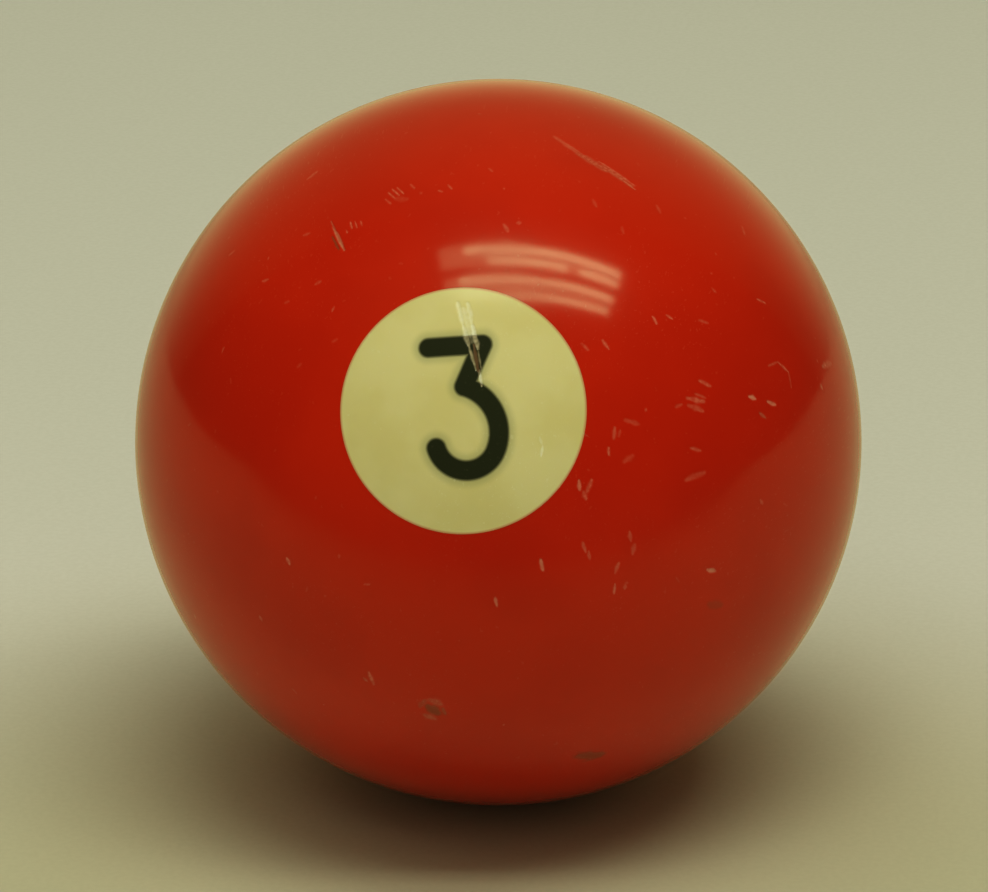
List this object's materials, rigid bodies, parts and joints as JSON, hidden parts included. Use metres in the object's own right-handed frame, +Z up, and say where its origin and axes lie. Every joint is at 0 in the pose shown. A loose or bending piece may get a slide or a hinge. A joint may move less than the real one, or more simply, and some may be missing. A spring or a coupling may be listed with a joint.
{
  "type": "numbered pool ball",
  "caption": "Solid cast-resin pool ball with round cream number spots let into opposite sides, each inlaid with a black numeral.",
  "frame": {"origin": "centre of the ball", "axes": "+Z straight up as the ball lies at rest; -Y is the side that the front number faces, and the number axis lies in the YZ plane, with the front number looking 25 degrees up from level; +X is to the right of someone who faces the front number"},
  "size_m": [0.0572, 0.0572, 0.0572],
  "materials": {
    "red_resin": "polished cast phenolic resin, crimson red, worn and finely scratched",
    "cream_resin": "polished cast phenolic resin, cream yellowed with age",
    "black_resin": "polished black resin inlay, its edges bled slightly into the cream"
  },
  "bodies": {
    "root": {"ball_body": "red_resin", "number_spot_front": "cream_resin", "number_spot_rear": "cream_resin", "numeral_front": "black_resin", "numeral_rear": "black_resin"}
  },
  "joints": []
}
